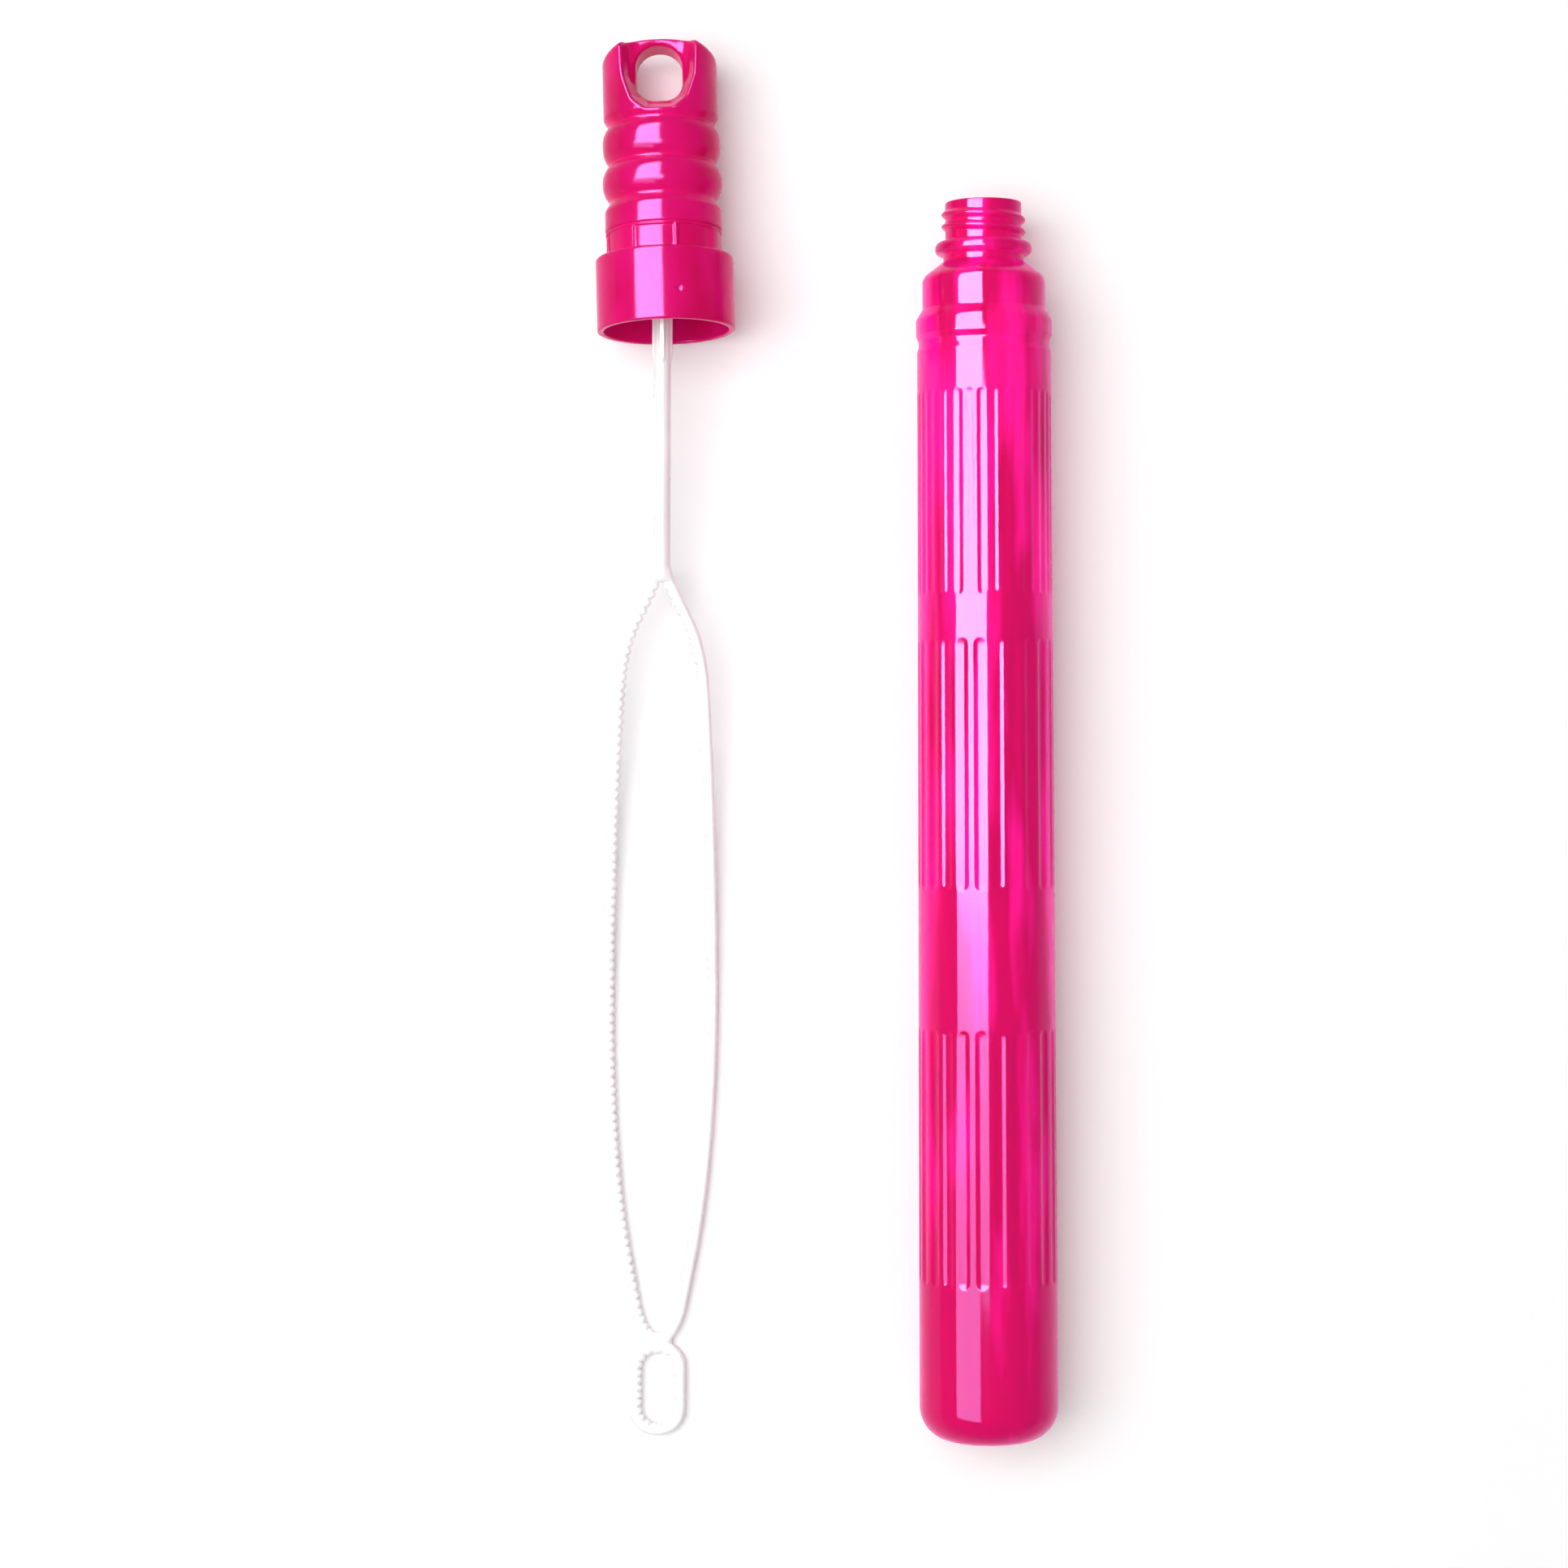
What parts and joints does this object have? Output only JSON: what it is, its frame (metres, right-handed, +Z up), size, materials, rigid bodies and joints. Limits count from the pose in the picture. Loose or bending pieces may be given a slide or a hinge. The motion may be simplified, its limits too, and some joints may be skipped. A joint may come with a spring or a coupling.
{
  "type": "bubble wand",
  "caption": "Slim fluted tube bottle with a screw cap whose grip carries a long flat wand with toothed loops; shown open, the cap and its wand lying beside the bottle.",
  "frame": {"origin": "on the table, below the middle of the whole object as it lies open", "axes": "+Z up from the table; +Y along the bottle from its base to its mouth; +X from the wand towards the bottle"},
  "size_m": [0.117, 0.3606, 0.0366],
  "materials": {
    "bottle": "clear tinted blown plastic, hot pink",
    "cap": "opaque glossy moulded plastic, hot pink",
    "wand": "white moulded plastic, satin",
    "seal": "soft white foam"
  },
  "bodies": {
    "bottle": {"bottle": "bottle"},
    "seal": {"sealing_washer": "seal"},
    "wand": {"cap_handle": "cap", "bubble_wand": "wand"}
  },
  "joints": [
    {"name": "wand_draw", "type": "slide", "parent": "bottle", "child": "seal", "axis": [0, 1, 0], "range_m": [0, 0.313]},
    {"name": "cap_turn", "type": "hinge", "parent": "seal", "child": "wand", "pos_m": [-0.0404, 0.10478, 0.01903], "axis": [-0.0237, 0.9965, -0.0803], "range_deg": [-720, 0]}
  ]
}
